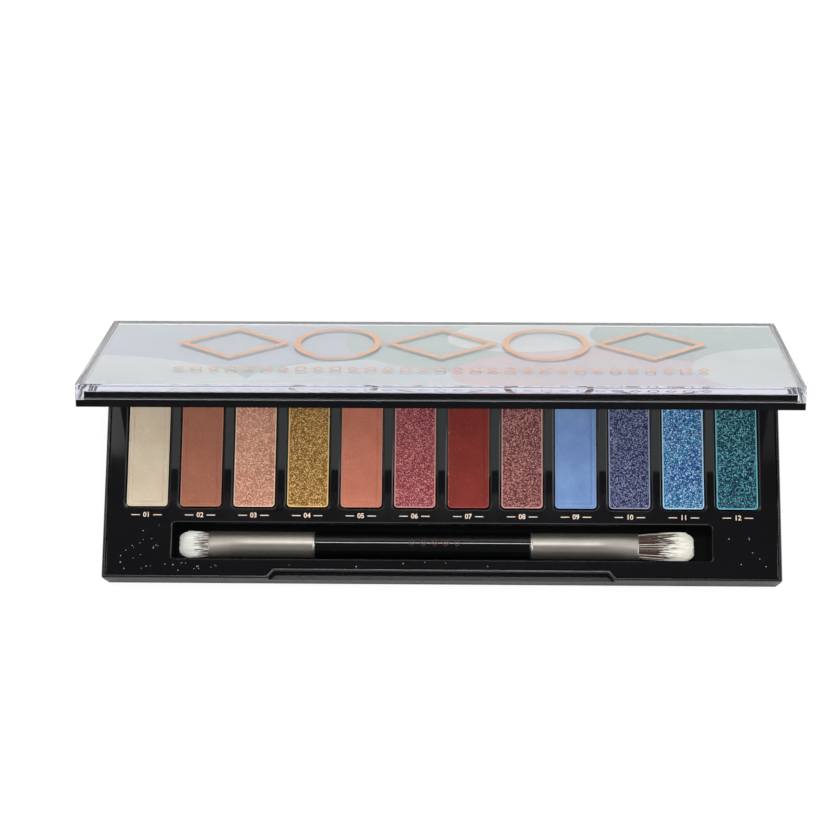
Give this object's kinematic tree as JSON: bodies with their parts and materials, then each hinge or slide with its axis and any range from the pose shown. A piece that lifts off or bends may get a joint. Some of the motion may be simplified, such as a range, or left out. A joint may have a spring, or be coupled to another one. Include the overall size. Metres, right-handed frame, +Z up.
{
  "type": "eyeshadow palette",
  "caption": "Flat hinged case with a row of pressed powders in metal pans, a long well with a double-ended brush, and a mirrored lid under a clear cover.",
  "frame": {"origin": "centre of the base's underside, on the table", "axes": "+X to the right along the row of pans, +Y from the thumb notch to the hinge, +Z up"},
  "size_m": [0.204, 0.0809, 0.0744],
  "materials": {
    "base_shell": "glossy black moulded shell",
    "pan_tray": "polished black moulded tray",
    "hinge_pins": "drawn steel wire",
    "base_magnets": "nickel plated magnets",
    "pan_glue": "dried adhesive",
    "pan": "bright stamped tin",
    "powder_01": "pressed powder, matte",
    "powder_02": "pressed powder, matte",
    "powder_03": "pressed powder, shimmer",
    "powder_04": "pressed powder, metallic",
    "powder_05": "pressed powder, matte",
    "powder_06": "pressed powder, shimmer",
    "powder_07": "pressed powder, matte",
    "powder_08": "pressed powder, glitter",
    "powder_09": "pressed powder, matte",
    "powder_10": "pressed powder, shimmer",
    "powder_11": "pressed powder, glitter",
    "powder_12": "pressed powder, glitter",
    "brush_handle": "glossy black lacquer",
    "brush_collar": "bright ring",
    "brush_ferrule": "satin champagne anodised",
    "brush_hair": "dyed synthetic filaments",
    "lid_frame": "glossy black moulded frame",
    "lid_cover": "clear polished acrylic",
    "lid_art_card": "printed card, soft pastel shapes",
    "lid_mirror": "silvered glass",
    "mirror_tape": "adhesive foam sheet",
    "lid_magnets": "nickel plated magnets"
  },
  "bodies": {
    "base": {"base_shell": "base_shell", "pan_tray": "pan_tray", "hinge_pins": "hinge_pins", "base_magnets": "base_magnets", "pan_glue": "pan_glue", "pan_01": "pan", "pan_02": "pan", "pan_03": "pan", "pan_04": "pan", "pan_05": "pan", "pan_06": "pan", "pan_07": "pan", "pan_08": "pan", "pan_09": "pan", "pan_10": "pan", "pan_11": "pan", "pan_12": "pan", "powder_01": "powder_01", "powder_02": "powder_02", "powder_03": "powder_03", "powder_04": "powder_04", "powder_05": "powder_05", "powder_06": "powder_06", "powder_07": "powder_07", "powder_08": "powder_08", "powder_09": "powder_09", "powder_10": "powder_10", "powder_11": "powder_11", "powder_12": "powder_12"},
    "lid": {"lid_frame": "lid_frame", "lid_cover": "lid_cover", "lid_art_card": "lid_art_card", "lid_mirror": "lid_mirror", "mirror_tape": "mirror_tape", "lid_magnets": "lid_magnets"},
    "brush": {"brush_handle": "brush_handle", "brush_collar_left": "brush_collar", "brush_collar_right": "brush_collar", "brush_ferrule_left": "brush_ferrule", "brush_ferrule_right": "brush_ferrule", "brush_hair_left": "brush_hair", "brush_hair_right": "brush_hair"}
  },
  "joints": [
    {"name": "lid_hinge", "type": "hinge", "parent": "base", "child": "lid", "pos_m": [0, 0.0323, 0.0092], "axis": [-1, 0, 0], "range_deg": [-61, 44]},
    {"name": "brush_lift", "type": "slide", "parent": "base", "child": "brush", "axis": [0, 0, 1], "range_m": [0, 0.06]}
  ]
}
